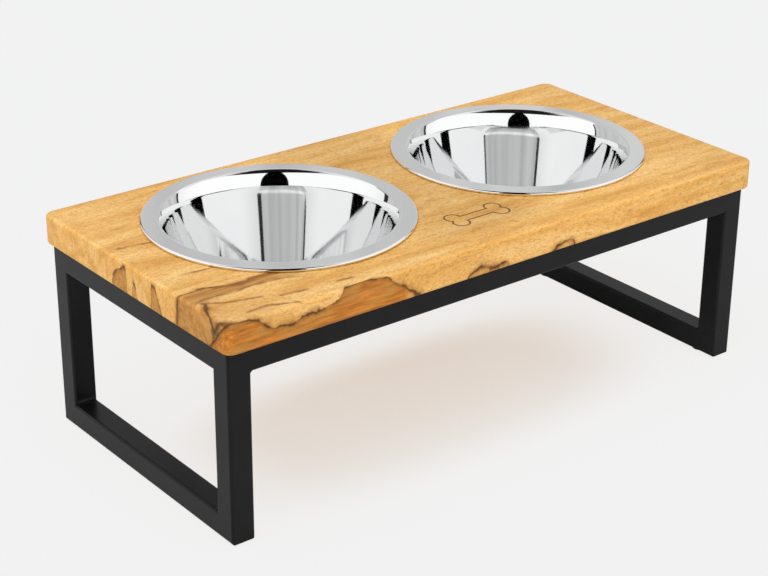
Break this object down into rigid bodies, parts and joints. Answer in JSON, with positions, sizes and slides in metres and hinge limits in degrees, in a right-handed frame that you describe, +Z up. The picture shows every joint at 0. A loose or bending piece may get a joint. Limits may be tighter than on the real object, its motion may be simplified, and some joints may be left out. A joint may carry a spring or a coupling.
{
  "type": "raised dog feeder",
  "caption": "Raised dog feeder: thick wooden board on a black square-tube steel stand, with round steel bowls that drop into holes in the board and lift out.",
  "frame": {"origin": "on the floor, under the middle of the board", "axes": "+X along the board to its right-hand end as seen from the front, -Y to the front, +Z up"},
  "size_m": [0.51, 0.247, 0.1785],
  "materials": {
    "board": "spalted mango wood, clear satin lacquer",
    "bowl": "mirror-polished stainless steel",
    "stand": "black satin powder coat",
    "screw": "zinc plated",
    "pad": "matt black rubber"
  },
  "bodies": {
    "stand": {"wood_top": "board", "front_rail": "stand", "rear_rail": "stand", "left_top_rail": "stand", "left_bottom_rail": "stand", "front_left_post": "stand", "rear_left_post": "stand", "right_top_rail": "stand", "right_bottom_rail": "stand", "front_right_post": "stand", "rear_right_post": "stand", "left_end_welds": "stand", "right_end_welds": "stand", "long_rail_welds": "stand", "front_left_tab": "stand", "rear_left_tab": "stand", "front_right_tab": "stand", "rear_right_tab": "stand", "wood_screws": "screw", "front_left_pad": "pad", "rear_left_pad": "pad", "front_right_pad": "pad", "rear_right_pad": "pad"},
    "left_bowl": {"bowl_left": "bowl"},
    "right_bowl": {"bowl_right": "bowl"}
  },
  "joints": [
    {"name": "left_bowl_lift", "type": "slide", "parent": "stand", "child": "left_bowl", "axis": [0, 0, 1], "range_m": [0, 0.1]},
    {"name": "right_bowl_lift", "type": "slide", "parent": "stand", "child": "right_bowl", "axis": [0, 0, 1], "range_m": [0, 0.1]}
  ]
}
